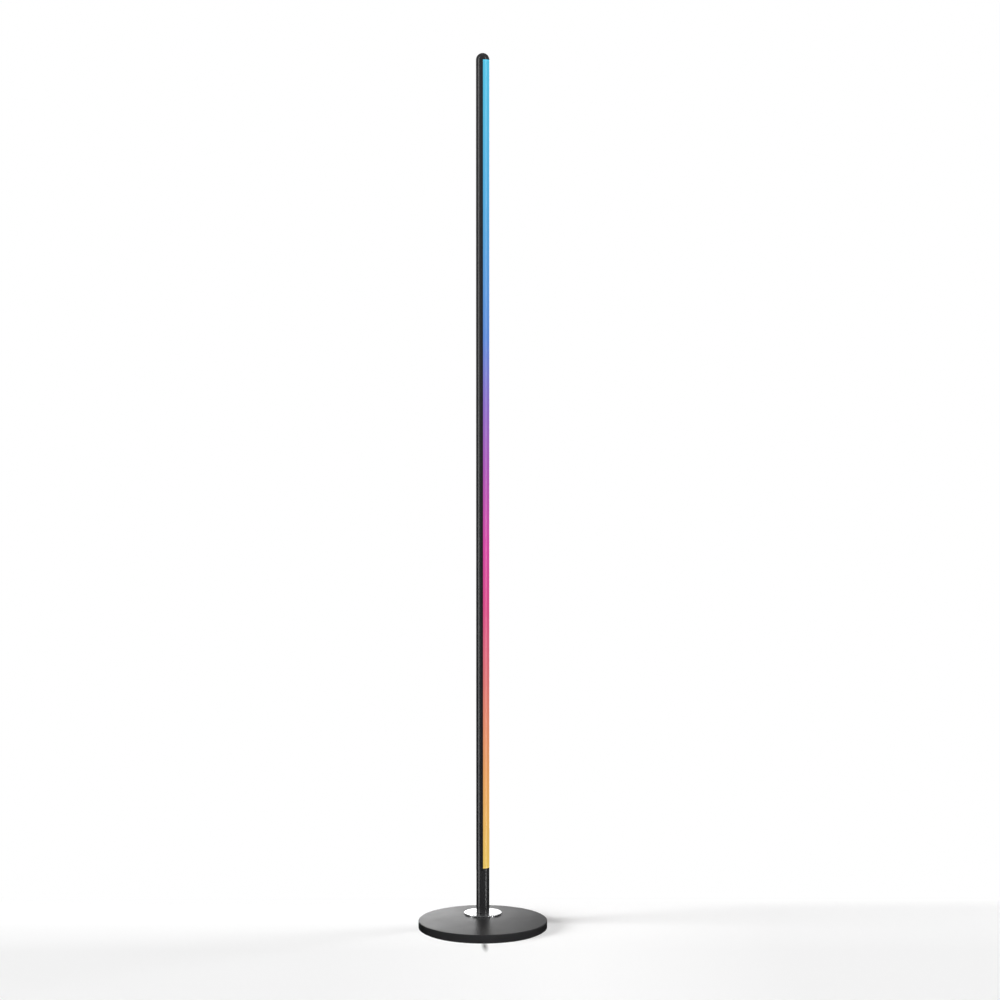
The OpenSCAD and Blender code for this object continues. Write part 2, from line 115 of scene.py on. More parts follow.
def grainedSurface(name, look):
    # A finish whose tone, sheen and relief all follow one fine grain. The look holds two colours,
    # the grain's size along each axis and its relief in mm, and two values of roughness
    material, tree = startMaterial(name)
    place = addNode(tree, "ShaderNodeTexCoord")
    sized = addNode(tree, "ShaderNodeMapping", {"Scale": [perMetre(size) for size in look["grain"]]},
                    {"Vector": place.outputs["Object"]})
    grain = addNode(tree, "ShaderNodeTexNoise", {"Scale": 1, "Detail": 3}, {"Vector": sized.outputs[0]})
    level = addNode(tree, "ShaderNodeMapRange",
                    {"From Min": grainContrast[0], "From Max": grainContrast[1]},
                    {"Value": grain.outputs["Fac"]})
    firstColour, secondColour = look["colours"]
    tone = addNode(tree, "ShaderNodeMix",
                   {"data_type": "RGBA", 6: linearColour(firstColour), 7: linearColour(secondColour)},
                   {0: level.outputs[0]})
    sheen = addNode(tree, "ShaderNodeMapRange",
                    {"To Min": look["roughness"][0], "To Max": look["roughness"][1]},
                    {"Value": level.outputs[0]})
    relief = addNode(tree, "ShaderNodeBump", {"Strength": 1, "Distance": look["relief"] * mm},
                     {"Height": grain.outputs["Fac"]})
    shader = addNode(tree, "ShaderNodeBsdfPrincipled",
                     {"Metallic": look.get("metallic", 0), "Specular IOR Level": look.get("specular", 0.5)},
                     {"Base Color": tone.outputs[2], "Roughness": sheen.outputs[0],
                      "Normal": relief.outputs[0]})
    addNode(tree, "ShaderNodeOutputMaterial", links={"Surface": shader.outputs[0]})
    return material


powderCoat = {
    "dark": "#1e1e1f",
    "light": "#272728",
    "roughness": (0.30, 0.40),
    "pebble": 1.3,  # mm; the real pebbles are about 0.4 mm, which wouldn't show
    "roundness": 0.8,  # of the pebbles
    "relief": 0.010,  # mm
    "cloud": 26,  # mm
}


def powderCoatedSteel():
    # Sprayed and baked powder: black, with a soft sheen broken up by fine pebbles
    material, tree = startMaterial("powder-coated steel")
    place = addNode(tree, "ShaderNodeTexCoord")
    pebbles = addNode(tree, "ShaderNodeTexVoronoi",
                      {"feature": "SMOOTH_F1", "Scale": perMetre(powderCoat["pebble"]),
                       "Smoothness": powderCoat["roundness"]},
                      {"Vector": place.outputs["Object"]})
    clouds = addNode(tree, "ShaderNodeTexNoise", {"Scale": perMetre(powderCoat["cloud"]), "Detail": 4},
                     {"Vector": place.outputs["Object"]})
    tone = addNode(tree, "ShaderNodeMix",
                   {"data_type": "RGBA", 6: linearColour(powderCoat["dark"]),
                    7: linearColour(powderCoat["light"])},
                   {0: clouds.outputs["Fac"]})
    sheen = addNode(tree, "ShaderNodeMapRange",
                    {"To Min": powderCoat["roughness"][0], "To Max": powderCoat["roughness"][1]},
                    {"Value": clouds.outputs["Fac"]})
    relief = addNode(tree, "ShaderNodeBump", {"Strength": 1, "Distance": powderCoat["relief"] * mm},
                     {"Height": pebbles.outputs["Distance"]})
    shader = addNode(tree, "ShaderNodeBsdfPrincipled", {"Specular IOR Level": 0.5},
                     {"Base Color": tone.outputs[2], "Roughness": sheen.outputs[0],
                      "Normal": relief.outputs[0]})
    addNode(tree, "ShaderNodeOutputMaterial", links={"Surface": shader.outputs[0]})
    return material


foam = {
    "colour": "#1a1a1b",
    "cell": 0.8,  # mm
    "relief": 0.12,  # mm
    "roughness": 0.9,
}


def closedCellFoam():
    # Sheet sliced from a block: dead matt, and pitted by the cells that the knife cut open
    material, tree = startMaterial("closed-cell foam")
    place = addNode(tree, "ShaderNodeTexCoord")
    cells = addNode(tree, "ShaderNodeTexVoronoi", {"Scale": perMetre(foam["cell"])},
                    {"Vector": place.outputs["Object"]})
    relief = addNode(tree, "ShaderNodeBump", {"Strength": 1, "Distance": foam["relief"] * mm},
                     {"Height": cells.outputs["Distance"]})
    shader = addNode(tree, "ShaderNodeBsdfPrincipled",
                     {"Base Color": linearColour(foam["colour"]), "Roughness": foam["roughness"]},
                     {"Normal": relief.outputs[0]})
    addNode(tree, "ShaderNodeOutputMaterial", links={"Surface": shader.outputs[0]})
    return material


chrome = {
    "colours": ("#eceded", "#e6e8e9"),
    "grain": (9, 9, 9),  # mm, smudges left by wiping
    "relief": 0,
    "roughness": (0.24, 0.30),
    "metallic": 1,
}


def polishedChrome():
    # Turned, satin polished and plated: a bright ring in which the foot is mirrored softly
    return grainedSurface("polished chrome", chrome)


satinPaint = {
    "colours": ("#1e1e1f", "#222223"),
    "grain": (2.2, 2.2, 2.2),  # mm, ripples of the dried paint
    "relief": 0.005,
    "roughness": (0.19, 0.25),
}


def satinEnamelledSteel():
    # Sprayed satin enamel on drawn tube: smooth black with the faint ripple of dried paint
    return grainedSurface("satin enamelled steel", satinPaint)


anodising = {
    "colours": ("#161617", "#1b1b1d"),
    "grain": (0.6, 0.6, 400),  # mm; real die lines are about 0.1 mm apart and wouldn't show
    "relief": 0.003,
    "roughness": (0.21, 0.28),
    "specular": 0.55,
}


def blackAnodisedAluminium():
    # Extruded, etched and anodised black: a satin sheen with hairlines along the length
    return grainedSurface("black anodised aluminium", anodising)


blackNylon = {
    "colours": ("#161617", "#1c1c1d"),
    "grain": (0.9, 0.9, 0.9),  # mm; a spark-eroded mould is about 0.1 mm rough, which wouldn't show
    "relief": 0.004,
    "roughness": (0.20, 0.27),
}


def mouldedBlackNylon():
    # Injection moulded nylon: black with a close satin grain from the mould
    return grainedSurface("moulded black nylon", blackNylon)


blackAbs = {
    "colours": ("#1a1a1c", "#212124"),
    "grain": (0.5, 0.5, 0.5),
    "relief": 0.006,
    "roughness": (0.34, 0.44),
}


def mouldedBlackAbs():
    # Injection moulded ABS: a shade greyer and duller than the nylon
    return grainedSurface("moulded black ABS", blackAbs)


naturalNylon = {
    "colours": ("#dcd7c8", "#e6e2d6"),
    "grain": (6, 6, 0.4),  # mm, rings left by turning
    "relief": 0.008,
    "roughness": (0.35, 0.5),
}


def turnedNaturalNylon():
    # Undyed nylon turned from rod: waxy, the colour of bone
    return grainedSurface("natural nylon", naturalNylon)


zincPlate = {
    "colours": ("#a9adb3", "#bfc2c4"),
    "grain": (1.6, 1.6, 1.6),  # mm, crystal patches of the plating
    "relief": 0.004,
    "roughness": (0.28, 0.42),
    "metallic": 1,
}


def zincPlatedSteel():
    # Bright zinc: grey metal with cloudy patches and a cold tint
    return grainedSurface("zinc-plated steel", zincPlate)


blackOxide = {
    "colours": ("#232325", "#343436"),
    "grain": (0.8, 0.8, 0.8),
    "relief": 0.005,
    "roughness": (0.38, 0.5),
    "metallic": 0.8,
}


def blackOxideSteel():
    # Hardened set screws with an oily black oxide skin
    return grainedSurface("black oxide steel", blackOxide)


rawAluminium = {
    "colours": ("#a6a8aa", "#bcbdbe"),
    "grain": (0.5, 0.5, 90),  # mm, lines of the extrusion die
    "relief": 0.006,
    "roughness": (0.3, 0.45),
    "metallic": 1,
}


def millFinishAluminium():
    # Bare extruded bar: soft grey metal with long fine lines
    return grainedSurface("mill-finish aluminium", rawAluminium)


laminate = {
    "mask": "#17543a",
    "thread": "#1f6a49",
    "weave": 0.9,  # mm between threads; the real cloth is about 0.4 mm, which wouldn't show
    "relief": 0.01,
    "roughness": 0.3,
}


def glassFibreLaminate():
    # Green solder mask over woven glass: glossy, with the cloth just showing through
    material, tree = startMaterial("glass-fibre laminate")
    place = addNode(tree, "ShaderNodeTexCoord")
    threads = addNode(tree, "ShaderNodeTexChecker", {"Scale": perMetre(laminate["weave"])},
                      {"Vector": place.outputs["Object"]})
    tone = addNode(tree, "ShaderNodeMix",
                   {"data_type": "RGBA", 6: linearColour(laminate["mask"]),
                    7: linearColour(laminate["thread"])},
                   {0: threads.outputs["Fac"]})
    relief = addNode(tree, "ShaderNodeBump", {"Strength": 1, "Distance": laminate["relief"] * mm},
                     {"Height": threads.outputs["Fac"]})
    shader = addNode(tree, "ShaderNodeBsdfPrincipled", {"Roughness": laminate["roughness"]},
                     {"Base Color": tone.outputs[2], "Normal": relief.outputs[0]})
    addNode(tree, "ShaderNodeOutputMaterial", links={"Surface": shader.outputs[0]})
    return material


chipResin = {
    "colours": ("#141516", "#1c1d1f"),
    "grain": (0.3, 0.3, 0.3),
    "relief": 0.004,
    "roughness": (0.5, 0.6),
}


def epoxyResin():
    # Moulded chip packages: matt, nearly black and slightly sandy
    return grainedSurface("epoxy resin", chipResin)


platedBrass = {
    "colours": ("#cdc7a6", "#d9d4b8"),
    "grain": (0.7, 0.7, 0.7),
    "relief": 0.002,
    "roughness": (0.18, 0.3),
    "metallic": 1,
}


def platedContactBrass():
    # Nickel over brass: bright, with a warm tinge
    return grainedSurface("plated brass", platedBrass)


domeSteel = {
    "colours": ("#c4c7c9", "#d2d4d5"),
    "grain": (0.4, 0.4, 6),
    "relief": 0.001,
    "roughness": (0.15, 0.25),
    "metallic": 1,
}


def springSteel():
    # Rolled stainless strip: thin, bright and lightly brushed
    return grainedSurface("stainless spring steel", domeSteel)


leadSkin = {
    "colours": ("#d3d3cf", "#dededa"),
    "grain": (1.2, 1.2, 14),
    "relief": 0.006,
    "roughness": (0.5, 0.62),
}


def siliconeSheath():
    # Soft silicone insulation: milky white and slightly chalky
    return grainedSurface("silicone sheath", leadSkin)


flexCircuit = {
    "mask": "#efefea",
    "copper": "#c9a36b",
    "pitch": 16.7,  # mm, the diodes' pitch, with a pair of solder pads at each
    "padLength": 1.4,  # mm
    "roughness": 0.45,
}


def flexibleCircuit():
    # Polyimide strip with a white mask, crossed by a band of bare copper pads at each cutting line
    material, tree = startMaterial("flexible circuit")
    place = addNode(tree, "ShaderNodeTexCoord")
    axes = addNode(tree, "ShaderNodeSeparateXYZ", links={0: place.outputs["Object"]})
    along = addNode(tree, "ShaderNodeMath", {"operation": "MODULO", 1: flexCircuit["pitch"] * mm},
                    {0: axes.outputs["Z"]})
    pad = addNode(tree, "ShaderNodeMath", {"operation": "LESS_THAN", 1: flexCircuit["padLength"] * mm},
                  {0: along.outputs[0]})
    tone = addNode(tree, "ShaderNodeMix",
                   {"data_type": "RGBA", 6: linearColour(flexCircuit["mask"]),
                    7: linearColour(flexCircuit["copper"])},
                   {0: pad.outputs[0]})
    shader = addNode(tree, "ShaderNodeBsdfPrincipled", {"Roughness": flexCircuit["roughness"]},
                     {"Base Color": tone.outputs[2], "Metallic": pad.outputs[0]})
    addNode(tree, "ShaderNodeOutputMaterial", links={"Surface": shader.outputs[0]})
    return material


diodeLens = {
    "colours": ("#f0e2a0", "#f6edc0"),
    "grain": (0.5, 0.5, 0.5),  # mm, settled phosphor grains
    "relief": 0.003,
    "roughness": (0.2, 0.3),
}


def phosphorSilicone():
    # The diodes' filling: pale yellow, glossy and faintly speckled
    return grainedSurface("phosphor silicone", diodeLens)


redAcetal = {
    "colours": ("#9c322c", "#a93b34"),
    "grain": (0.4, 0.4, 0.4),
    "relief": 0.002,
    "roughness": (0.3, 0.4),
}


def mouldedRedAcetal():
    # The switch's plunger: red, hard and a little waxy
    return grainedSurface("red acetal", redAcetal)


litCover = {
    # Colours of the light from the lower end, 0, to the upper end, 1
    "colours": [
        (0.00, "#f2cd68"),  # yellow
        (0.11, "#efab66"),  # amber
        (0.23, "#e57c78"),  # coral
        (0.33, "#e0508f"),  # rose
        (0.40, "#dc4ca8"),  # hot pink
        (0.50, "#b15bbd"),  # magenta
        (0.58, "#8f72cd"),  # violet
        (0.66, "#6290de"),  # blue
        (0.83, "#57b1e5"),  # sky blue
        (1.00, "#56c8ea"),  # cyan
    ],
    "glow": 0.735,  # share of the colour that shines out
    "body": 0.10,  # share of the colour that the studio lights show
    "roughness": 0.08,
    "refraction": 1.41,  # index of silicone
    "gloss": 0.7,
    "hotEnd": 2.6,  # mm at each end, where light leaves through the end face too
    "hotGlow": 1.32,  # how much brighter the very end is
}


def opalSilicone():
    # Extruded opal silicone over the diodes: one even, saturated glow under a smooth glossy skin
    material, tree = startMaterial("opal silicone")
    place = addNode(tree, "ShaderNodeTexCoord")
    axes = addNode(tree, "ShaderNodeSeparateXYZ", links={0: place.outputs["Object"]})
    height = addNode(tree, "ShaderNodeMapRange",
                     {"From Min": lightLow.z, "From Max": lightHigh.z},
                     {"Value": axes.outputs["Z"]})
    ramp = addNode(tree, "ShaderNodeValToRGB", links={0: height.outputs[0]})
    stops = ramp.color_ramp.elements
    while len(stops) < len(litCover["colours"]):
        stops.new(0.5)
    for stop, (position, code) in zip(stops, litCover["colours"]):
        stop.position = position
        stop.color = linearColour(code)
    body = addNode(tree, "ShaderNodeMix",
                   {"data_type": "RGBA", 0: 1 - litCover["body"], 7: (0, 0, 0, 1)},
                   {6: ramp.outputs["Color"]})
    lowEnd = addNode(tree, "ShaderNodeMapRange",
                     {"From Min": lightLow.z, "From Max": lightLow.z + litCover["hotEnd"] * mm,
                      "To Min": litCover["hotGlow"], "To Max": 1}, {"Value": axes.outputs["Z"]})
    highEnd = addNode(tree, "ShaderNodeMapRange",
                      {"From Min": lightHigh.z - litCover["hotEnd"] * mm, "From Max": lightHigh.z,
                       "To Min": litCover["glow"], "To Max": litCover["glow"] * litCover["hotGlow"]},
                      {"Value": axes.outputs["Z"]})
    glow = addNode(tree, "ShaderNodeMath", {"operation": "MULTIPLY"},
                   {0: lowEnd.outputs[0], 1: highEnd.outputs[0]})
    shader = addNode(tree, "ShaderNodeBsdfPrincipled",
                     {"Roughness": litCover["roughness"], "IOR": litCover["refraction"],
                      "Specular IOR Level": litCover["gloss"]},
                     {"Base Color": body.outputs[2], "Emission Color": ramp.outputs["Color"],
                      "Emission Strength": glow.outputs[0]})
    addNode(tree, "ShaderNodeOutputMaterial", links={"Surface": shader.outputs[0]})
    return material


print("material recipes defined")


def arc(radius, start, end, steps):
    # Points on a circle round the pole's axis, between two angles in degrees
    turns = [math.radians(start + (end - start) * i / steps) for i in range(steps + 1)]
    return [(radius * math.cos(t), radius * math.sin(t)) for t in turns]


def angleAt(x, radius):
    # The angle, in degrees, at which a circle passes x
    return math.degrees(math.acos(x / radius))


def softened(points, radius, leastTurn=35):
    # The closed outline with a curve of about radius at each corner that turns by leastTurn degrees
    result = []
    count = len(points)
    for i, corner in enumerate(points):
        here = Vector(corner)
        back = Vector(points[i - 1]) - here
        ahead = Vector(points[(i + 1) % count]) - here
        turn = 180 - math.degrees(back.angle(ahead))
        reach = min(radius, 0.45 * back.length, 0.45 * ahead.length)
        if turn < leastTurn:
            result.append(tuple(here))
            continue
        start = here + back.normalized() * reach
        end = here + ahead.normalized() * reach
        for t in (0, 0.25, 0.5, 0.75, 1):
            point = start * (1 - t) ** 2 + here * 2 * t * (1 - t) + end * t ** 2
            result.append(tuple(point))
    return result


def shiftedInwards(points, distance):
    # Moves each point into the material, which lies to the left along the outline
    moved = []
    for i, corner in enumerate(points):
        here = Vector(corner)
        ahead = Vector(points[(i + 1) % len(points)]) - here
        along = (here - Vector(points[i - 1])).normalized() + ahead.normalized()
        along.normalize()
        moved.append((here.x - along.y * distance, here.y + along.x * distance))
    return moved


sharpEdge = 30  # degrees, above which the edge between two faces isn't smoothed


def meshPiece(name, shape, material, body, node):
    # Turns a bmesh into a piece that rides on a body and stands for a CAD node
    bmesh.ops.recalc_face_normals(shape, faces=shape.faces)
    mesh = bpy.data.meshes.new(name)
    shape.to_mesh(mesh)
    shape.free()
    mesh.shade_smooth()
    mesh.set_sharp_from_angle(angle=math.radians(sharpEdge))
    mesh.materials.append(material)
    piece = bpy.data.objects.new(name, mesh)
    scene.collection.objects.link(piece)
    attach(piece, body)
    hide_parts(node)
    return piece


def extruded(outlines, zLow, zHigh, chamfer):
    # A bar along the pole from flat outlines in mm: the first is the outside, and the rest are holes
    shape = bmesh.new()
    levels = [(zLow, chamfer), (zLow + chamfer * mm, 0), (zHigh - chamfer * mm, 0), (zHigh, chamfer)]
    ends = [[], []]
    for outline in outlines:
        rings = []
        for z, inset in levels:
            points = shiftedInwards(outline, inset) if inset else outline
            rings.append([shape.verts.new((poleX + x * mm, poleY + y * mm, z)) for x, y in points])
        for low, high in zip(rings, rings[1:]):
            for i in range(len(low)):
                shape.faces.new((low[i - 1], low[i], high[i], high[i - 1]))
        for end, ring in zip(ends, (rings[0], rings[-1])):
            end += [shape.edges.get((ring[i - 1], ring[i])) for i in range(len(ring))]
    for end in ends:
        bmesh.ops.triangle_fill(shape, edges=end, use_beauty=True)
    return shape


def turned(profile, steps):
    # A ring round the pole's axis from a closed profile of radius in mm and height in metres
    shape = bmesh.new()
    rings = []
    for i in range(steps):
        angle = 2 * math.pi * i / steps
        ring = []
        for r, z in profile:
            x, y = poleX + r * mm * math.cos(angle), poleY + r * mm * math.sin(angle)
            ring.append(shape.verts.new((x, y, z)))
        rings.append(ring)
    for i in range(steps):
        here, there = rings[i - 1], rings[i]
        for j in range(len(profile)):
            shape.faces.new((here[j - 1], there[j - 1], there[j], here[j]))
    return shape


# Channel: a half-round wall, a shelf across it, and two lips set in from the wall
channelShape = {
    "wall": 1.5,
    "grooveWidth": 2.4,
    "grooveDepth": 0.9,
    "lip": 1.0,
    "lipRoot": 1.5,
    "lipEnd": 0.4,  # in front of the pole's axis, where the cover's shoulders begin
    "shelfBack": 4.0,
    "shelf": 1.4,
    "corner": 0.25,  # radius left by the extrusion die
    "endChamfer": 0.12,
    "steps": 72,  # points along the wall
    "lipOutSteps": 6,
    "lipInSteps": 8,
}


def channelOutlines(outerRadius):
    c = channelShape
    inner = outerRadius - c["wall"]
    lipOut = outerRadius - c["grooveDepth"]
    lipIn = lipOut - c["lip"]
    wallAngle = angleAt(-c["grooveWidth"], outerRadius)
    lipAngle = angleAt(-c["grooveWidth"], lipOut)
    outEnd, inEnd = angleAt(c["lipEnd"], lipOut), angleAt(c["lipEnd"], lipIn)
    rootAngle = angleAt(-c["grooveWidth"] - c["lipRoot"], lipIn)
    shelfY = math.sqrt(inner ** 2 - c["shelfBack"] ** 2)
    rearAngle = angleAt(-c["shelfBack"] - c["shelf"], inner)
    outside = (arc(lipOut, outEnd, lipAngle, c["lipOutSteps"])
               + arc(outerRadius, wallAngle, 360 - wallAngle, c["steps"])
               + arc(lipOut, 360 - lipAngle, 360 - outEnd, c["lipOutSteps"])
               + arc(lipIn, 360 - inEnd, 360 - rootAngle, c["lipInSteps"])
               + [(-c["shelfBack"], -shelfY), (-c["shelfBack"], shelfY)]
               + arc(lipIn, rootAngle, inEnd, c["lipInSteps"]))
    cavity = arc(inner, 360 - rearAngle, rearAngle, c["steps"] // 2)
    return [softened(outside, c["corner"]), softened(cavity, c["corner"])]


aluminium = blackAnodisedAluminium()
for part in ("lower", "middle", "upper"):
    low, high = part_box("channel_" + part)
    shape = extruded(channelOutlines(poleRadius), low.z, high.z, channelShape["endChamfer"])
    meshPiece("channel_profile_" + part, shape, aluminium, "pole", "channel_" + part)
print("channel made")


# Cover: a half-round wall with shoulders on the channel's lips, and legs inside them
coverShape = {
    "wall": 1.2,
    "shoulder": 0.7,
    "legGap": 0.1,
    "leg": 0.9,
    "legLength": 1.8,
    "corner": 0.2,
    "endChamfer": 0.15,
    "steps": 72,  # points along the wall
    "legOutSteps": 5,
    "legInSteps": 6,
}


def coverOutline(outerRadius):
    c = coverShape
    edge = channelShape["lipEnd"]
    inner = outerRadius - c["wall"]
    legOut = outerRadius - channelShape["grooveDepth"] - channelShape["lip"] - c["legGap"]
    legIn = legOut - c["leg"]
    edgeAngle = angleAt(edge, outerRadius)
    legTop, legOutAngle = angleAt(edge, legOut), angleAt(edge - c["legLength"], legOut)
    legInAngle = angleAt(edge - c["legLength"], legIn)
    shoulderAngle = angleAt(edge + c["shoulder"], legIn)
    wallAngle = angleAt(edge + c["shoulder"], inner)
    outline = (arc(outerRadius, -edgeAngle, edgeAngle, c["steps"])
               + arc(legOut, legTop, legOutAngle, c["legOutSteps"])
               + arc(legIn, legInAngle, shoulderAngle, c["legInSteps"])
               + arc(inner, wallAngle, -wallAngle, c["steps"])
               + arc(legIn, -shoulderAngle, -legInAngle, c["legInSteps"])
               + arc(legOut, -legOutAngle, -legTop, c["legOutSteps"]))
    return softened(outline, c["corner"])


cover = extruded([coverOutline(poleRadius)], lightLow.z, lightHigh.z, coverShape["endChamfer"])
meshPiece("light_cover", cover, opalSilicone(), "pole", "diffuser")
print("light cover made")


# Rosette: a flat ring with a polished bevel
rosetteShape = {
    "hole": 6.15,  # radius round the pivot's bush
    "bevel": 0.15,
    "corner": 0.06,
    "steps": 256,
}
rosetteLow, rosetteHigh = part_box("rosette")


def rosetteProfile():
    r = rosetteShape
    radius = (rosetteHigh.x - rosetteLow.x) / 2 / mm
    low, high = rosetteLow.z / mm, rosetteHigh.z / mm
    outline = [(r["hole"], low), (radius, low), (radius, high - r["bevel"]),
               (radius - r["bevel"], high), (r["hole"], high)]
    return [(x, z * mm) for x, z in softened(outline, r["corner"])]


rosetteDisc = meshPiece("rosette_disc", turned(rosetteProfile(), rosetteShape["steps"]), polishedChrome(),
                        "base", "rosette")
print("rosette made")


# Finishes of the CAD nodes that stay: each material, and the nodes that it covers
finishes = [
    (powderCoatedSteel, ["base_plate"]),
    (closedCellFoam, ["floor_pad"]),
    (satinEnamelledSteel, ["foot_tube", "foot_joiner"]),
    (mouldedBlackNylon, ["top_cap", "slide_washer"]),
    (mouldedBlackAbs, ["dc_inlet", "mode_button", "controller_carrier", "switch_body"]),
    (turnedNaturalNylon, ["pivot_bush"]),
    (zincPlatedSteel, ["pivot_stud", "spring_washer", "pivot_nut", "foot_bush", "board_screws"]),
    (blackOxideSteel, ["foot_screw", "joiner_screws"]),
    (millFinishAluminium, ["channel_joiners"]),
    (glassFibreLaminate, ["controller_board"]),
    (epoxyResin, ["board_chips"]),
    (platedContactBrass, ["inlet_pin", "inlet_contact"]),
    (springSteel, ["switch_dome"]),
    (siliconeSheath, ["led_lead"]),
    (flexibleCircuit, ["led_tape"]),
    (phosphorSilicone, ["led_chips"]),
    (mouldedRedAcetal, ["switch_plunger"]),
]
for makeFinish, nodeNames in finishes:
    finish = makeFinish()
    for nodeName in nodeNames:
        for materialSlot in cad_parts[nodeName].material_slots:
            materialSlot.material = finish
print("CAD nodes finished")


# Floor: part of its brightness is a camera-only glow, and the rest is lit, so that it takes shadows
# Painted shade darkens the floor towards the front and to the right, and a painted shadow of the pole lies
# in front of the base
floorLook = {
    "size": 14,  # metres
    "colour": "#e9e9e9",
    "glow": 0.195,
    "front": (0.06, -0.14),  # metres along the depth, between which painted shade darkens the floor towards the camera
    "frontPaintedShade": (0.105, 0.05),  # painted shade there on the left and on the right
    "frontSides": (-0.22, 0.10),  # metres across, where these two are reached
    "right": (0.16, 0.45),  # metres across, between which painted shade darkens the floor to the right
    "rightPaintedShade": 0.065,
    "whiteFrom": 0.12,  # metres behind the base's middle, where the floor starts to fade to white
    "whiteTo": 0.20,
    "farWhite": (1.3, 2.8),  # metres from the lamp, between which it turns white all round
}
paintedPoleShadow = {
    "place": (0.0028, -0.111, 0),  # metres; a painted shadow of the pole, a short dark streak in front of the base
    "turn": 3,  # degrees
    "reach": (0.0060, 0.042, 1),  # metres, half its width and half its length
    "paintedShade": 0.78,
}


def paintedFloor():
    # Matt white studio paint that fades into the white background, with painted shade towards the front and
    # the right and a painted shadow of the pole
    material, tree = startMaterial("painted studio floor")
    place = addNode(tree, "ShaderNodeTexCoord")
    axes = addNode(tree, "ShaderNodeSeparateXYZ", links={0: place.outputs["Object"]})
    fade = addNode(tree, "ShaderNodeMapRange",
                   {"interpolation_type": "SMOOTHSTEP", "From Min": floorLook["whiteFrom"],
                    "From Max": floorLook["whiteTo"]},
                   {"Value": axes.outputs["Y"]})
    distance = addNode(tree, "ShaderNodeVectorMath", {"operation": "LENGTH"}, {0: place.outputs["Object"]})
    farFade = addNode(tree, "ShaderNodeMapRange",
                      {"interpolation_type": "SMOOTHSTEP", "From Min": floorLook["farWhite"][0],
                       "From Max": floorLook["farWhite"][1]},
                      {"Value": distance.outputs["Value"]})
    allFade = addNode(tree, "ShaderNodeMath", {"operation": "MAXIMUM"},
                      {0: fade.outputs[0], 1: farFade.outputs[0]})
    front = addNode(tree, "ShaderNodeMapRange",
                    {"From Min": floorLook["front"][0], "From Max": floorLook["front"][1]},
                    {"Value": axes.outputs["Y"]})
    frontPaintedShade = addNode(tree, "ShaderNodeMapRange",
                        {"From Min": floorLook["frontSides"][0], "From Max": floorLook["frontSides"][1],
                         "To Min": floorLook["frontPaintedShade"][0], "To Max": floorLook["frontPaintedShade"][1]},
                        {"Value": axes.outputs["X"]})
    rightPaintedShade = addNode(tree, "ShaderNodeMapRange",
                        {"From Min": floorLook["right"][0], "From Max": floorLook["right"][1],
                         "To Max": floorLook["rightPaintedShade"]},
                        {"Value": axes.outputs["X"]})
    # painted shade towards the front and the right
    paintedShade = addNode(tree, "ShaderNodeMath", {"operation": "MULTIPLY_ADD"},
                   {0: front.outputs[0], 1: frontPaintedShade.outputs[0], 2: rightPaintedShade.outputs[0]})
    # A painted shadow of the pole on the floor in front of the base
    paintedShadowPlace = addNode(tree, "ShaderNodeMapping",
                        {"vector_type": "TEXTURE", "Location": paintedPoleShadow["place"],
                         "Rotation": (0, 0, math.radians(paintedPoleShadow["turn"])), "Scale": paintedPoleShadow["reach"]},
                        {"Vector": place.outputs["Object"]})
    paintedShadow = addNode(tree, "ShaderNodeTexGradient", {"gradient_type": "SPHERICAL"},
                   {"Vector": paintedShadowPlace.outputs[0]})
    paintedShadeAndShadow = addNode(tree, "ShaderNodeMath", {"operation": "MULTIPLY_ADD", 1: paintedPoleShadow["paintedShade"]},
                          {0: paintedShadow.outputs["Fac"], 2: paintedShade.outputs[0]})
    glow = addNode(tree, "ShaderNodeMath", {"operation": "SUBTRACT", 0: floorLook["glow"]},
                   {1: paintedShadeAndShadow.outputs[0]})
    ray = addNode(tree, "ShaderNodeLightPath")
    cameraFade = addNode(tree, "ShaderNodeMath", {"operation": "MULTIPLY"},
                         {0: allFade.outputs[0], 1: ray.outputs["Is Camera Ray"]})
    cameraGlow = addNode(tree, "ShaderNodeMath", {"operation": "MULTIPLY"},
                         {0: glow.outputs[0], 1: ray.outputs["Is Camera Ray"]})
    paint = addNode(tree, "ShaderNodeBsdfPrincipled",
                    {"Base Color": linearColour(floorLook["colour"]), "Roughness": 1,
                     "Specular IOR Level": 0, "Emission Color": whiteLight},
                    {"Emission Strength": cameraGlow.outputs[0]})
    white = addNode(tree, "ShaderNodeEmission", {"Color": whiteLight, "Strength": 1})
    both = addNode(tree, "ShaderNodeMixShader",
                   links={0: cameraFade.outputs[0], 1: paint.outputs[0], 2: white.outputs[0]})
    addNode(tree, "ShaderNodeOutputMaterial", links={"Surface": both.outputs[0]})
    return material


def stageSheet(name, corners, material):
    # A flat sheet that belongs to the studio
    mesh = bpy.data.meshes.new(name)
    mesh.from_pydata(corners, [], [(0, 1, 2, 3)])
    mesh.materials.append(material)
    sheet = bpy.data.objects.new(name, mesh)
    scene.collection.objects.link(sheet)
    return sheet


half = floorLook["size"] / 2
floor = stageSheet("studio_floor", [(-half, -half, 0), (half, -half, 0), (half, half, 0), (-half, half, 0)],
                   paintedFloor())
floor.visible_glossy = False  # the softboxes' reflections run on down to the pole's foot
floor.visible_shadow = False

# The floor has lamps of its own, so that its shadows and the lamp's sheen can be set apart
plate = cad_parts["base_plate"]


def lightGroup(name, objects, state="INCLUDE"):
    # What a lamp lights: only these objects, or all but these
    group = bpy.data.collections.new(name)
    for member in objects:
        group.objects.link(member)
    for member in group.collection_objects:
        member.light_linking.link_state = state
    return group


onlyFloor = lightGroup("only_floor", [floor])
discAndPlate = lightGroup("disc_and_plate", [rosetteDisc, plate])
allButFloor = lightGroup("all_but_floor", [floor], "EXCLUDE")
poleAndDisc = lightGroup("pole_and_disc", [floor, plate], "EXCLUDE")
plateOnly = lightGroup("plate_only", [plate])
allButPlate = lightGroup("all_but_plate", [plate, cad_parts["floor_pad"]], "EXCLUDE")
plate.visible_glossy = False  # like the floor, though it hardly shows
print("floor laid")


